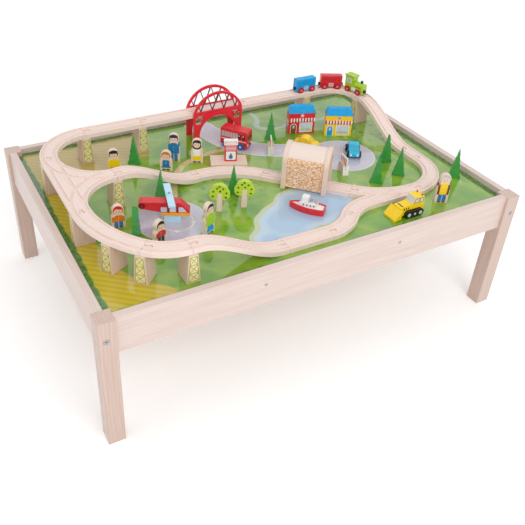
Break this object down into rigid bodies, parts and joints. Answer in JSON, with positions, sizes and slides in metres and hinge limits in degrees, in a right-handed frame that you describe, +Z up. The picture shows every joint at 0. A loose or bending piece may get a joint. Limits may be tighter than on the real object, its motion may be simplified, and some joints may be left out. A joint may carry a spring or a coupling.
{
  "type": "train table",
  "caption": "Low wooden play table with a printed board, a raised wooden railway with bridge, tunnel and ramps, a train and small town toys.",
  "frame": {"origin": "on the floor under the middle of the table", "axes": "+X along the long front rail, +Y from the front rail to the back rail, +Z up"},
  "size_m": [1.03, 0.716, 0.438],
  "materials": {
    "pine_wood": "clear satin lacquer on pale wood",
    "track_wood": "sanded beech",
    "printed_board": "glossy printed board",
    "steel": "zinc plated",
    "support_wood": "printed wood",
    "red_paint": "painted wood",
    "blue_paint": "painted wood",
    "lime_paint": "painted wood",
    "yellow_paint": "painted wood",
    "pine_green": "painted wood",
    "white_paint": "painted wood",
    "figure_paint": "printed wood",
    "black_plastic": "moulded",
    "red_wheels": "moulded",
    "blue_wheels": "moulded"
  },
  "bodies": {
    "table": {"rail_front": "pine_wood", "rail_back": "pine_wood", "rail_left": "pine_wood", "rail_right": "pine_wood", "leg_front_left": "pine_wood", "leg_front_right": "pine_wood", "leg_back_left": "pine_wood", "leg_back_right": "pine_wood", "board": "printed_board", "battens": "pine_wood", "leg_bolts": "steel", "barrel_nuts": "steel", "rail_dowels": "pine_wood", "batten_screws": "steel", "straights": "track_wood", "ramps": "track_wood", "corner_curves": "track_wood", "curves_short": "track_wood", "curves_long": "track_wood", "junction_left": "track_wood", "switch_right": "track_wood", "supports": "support_wood", "bridge_sides": "red_paint", "bridge_deck": "track_wood", "tunnel_ends": "track_wood", "tunnel_cover": "track_wood", "platform": "track_wood", "pump": "red_paint", "shop_red": "red_paint", "shop_yellow": "yellow_paint", "pines": "pine_green", "apple_trees": "lime_paint", "figures": "figure_paint", "boat_hull": "red_paint", "boat_cabin": "white_paint", "helicopter_body": "red_paint", "barriers": "track_wood", "engine_body": "lime_paint", "wagon_red_body": "red_paint", "magnets": "black_plastic", "bus_body": "red_paint", "car_yellow_body": "yellow_paint", "car_blue_body": "blue_paint", "digger_body": "yellow_paint", "digger_crawlers": "black_plastic"},
    "engine_axle_front": {"engine_axle_front": "red_wheels"},
    "engine_axle_rear": {"engine_axle_rear": "red_wheels"},
    "wagon_red_axle_front": {"wagon_red_axle_front": "red_wheels"},
    "wagon_red_axle_rear": {"wagon_red_axle_rear": "red_wheels"},
    "wagon_blue_axle_front": {"wagon_blue_axle_front": "red_wheels"},
    "wagon_blue_axle_rear": {"wagon_blue_axle_rear": "red_wheels"},
    "bus_axle_front": {"bus_axle_front": "blue_wheels"},
    "bus_axle_rear": {"bus_axle_rear": "blue_wheels"},
    "car_yellow_axle_front": {"car_yellow_axle_front": "black_plastic"},
    "car_yellow_axle_rear": {"car_yellow_axle_rear": "black_plastic"},
    "car_blue_axle_front": {"car_blue_axle_front": "black_plastic"},
    "car_blue_axle_rear": {"car_blue_axle_rear": "black_plastic"},
    "helicopter_rotor": {"helicopter_rotor": "blue_paint"},
    "wagon_blue": {"wagon_blue_body": "blue_paint", "wagon_blue_magnets": "black_plastic"}
  },
  "joints": [
    {"name": "engine_axle_front_turn", "type": "hinge", "parent": "table", "child": "engine_axle_front", "pos_m": [0.42022, 0.15879, 0.3923], "axis": [0.9659, 0.2588, 0], "continuous": true},
    {"name": "engine_axle_rear_turn", "type": "hinge", "parent": "table", "child": "engine_axle_rear", "pos_m": [0.4109, 0.19356, 0.3923], "axis": [0.9659, 0.2588, 0], "continuous": true},
    {"name": "wagon_red_axle_front_turn", "type": "hinge", "parent": "table", "child": "wagon_red_axle_front", "pos_m": [0.38532, 0.22405, 0.3923], "axis": [0.4226, 0.9063, 0], "continuous": true},
    {"name": "wagon_red_axle_rear_turn", "type": "hinge", "parent": "table", "child": "wagon_red_axle_rear", "pos_m": [0.35269, 0.23927, 0.3923], "axis": [0.4226, 0.9063, 0], "continuous": true},
    {"name": "wagon_blue_run", "type": "slide", "parent": "table", "child": "wagon_blue", "axis": [1, 0, 0], "range_m": [-0.605, 0]},
    {"name": "wagon_blue_axle_front_turn", "type": "hinge", "parent": "wagon_blue", "child": "wagon_blue_axle_front", "pos_m": [0.30599, 0.242, 0.3923], "axis": [0, 1, 0], "continuous": true},
    {"name": "wagon_blue_axle_rear_turn", "type": "hinge", "parent": "wagon_blue", "child": "wagon_blue_axle_rear", "pos_m": [0.26999, 0.242, 0.3923], "axis": [0, 1, 0], "continuous": true},
    {"name": "bus_axle_front_turn", "type": "hinge", "parent": "table", "child": "bus_axle_front", "pos_m": [0.04552, 0.14303, 0.3163], "axis": [0.788, 0.6157, 0], "continuous": true},
    {"name": "bus_axle_rear_turn", "type": "hinge", "parent": "table", "child": "bus_axle_rear", "pos_m": [0.02012, 0.17553, 0.3163], "axis": [0.788, 0.6157, 0], "continuous": true},
    {"name": "car_yellow_axle_front_turn", "type": "hinge", "parent": "table", "child": "car_yellow_axle_front", "pos_m": [0.20551, 0.05925, 0.3163], "axis": [0.766, 0.6428, 0], "continuous": true},
    {"name": "car_yellow_axle_rear_turn", "type": "hinge", "parent": "table", "child": "car_yellow_axle_rear", "pos_m": [0.18247, 0.08671, 0.3163], "axis": [0.766, 0.6428, 0], "continuous": true},
    {"name": "car_blue_axle_front_turn", "type": "hinge", "parent": "table", "child": "car_blue_axle_front", "pos_m": [0.27876, -0.02138, 0.3163], "axis": [0.8572, -0.515, 0], "continuous": true},
    {"name": "car_blue_axle_rear_turn", "type": "hinge", "parent": "table", "child": "car_blue_axle_rear", "pos_m": [0.29722, 0.00934, 0.3163], "axis": [0.8572, -0.515, 0], "continuous": true},
    {"name": "helicopter_rotor_spin", "type": "hinge", "parent": "table", "child": "helicopter_rotor", "pos_m": [-0.2606, -0.0872, 0.3665], "axis": [0, 0, 1], "continuous": true}
  ],
  "couplings": [
    {"joint": "wagon_blue_axle_front_turn", "follows": "wagon_blue_run", "rad_per_m": 111.11},
    {"joint": "wagon_blue_axle_rear_turn", "follows": "wagon_blue_run", "rad_per_m": 111.11}
  ]
}
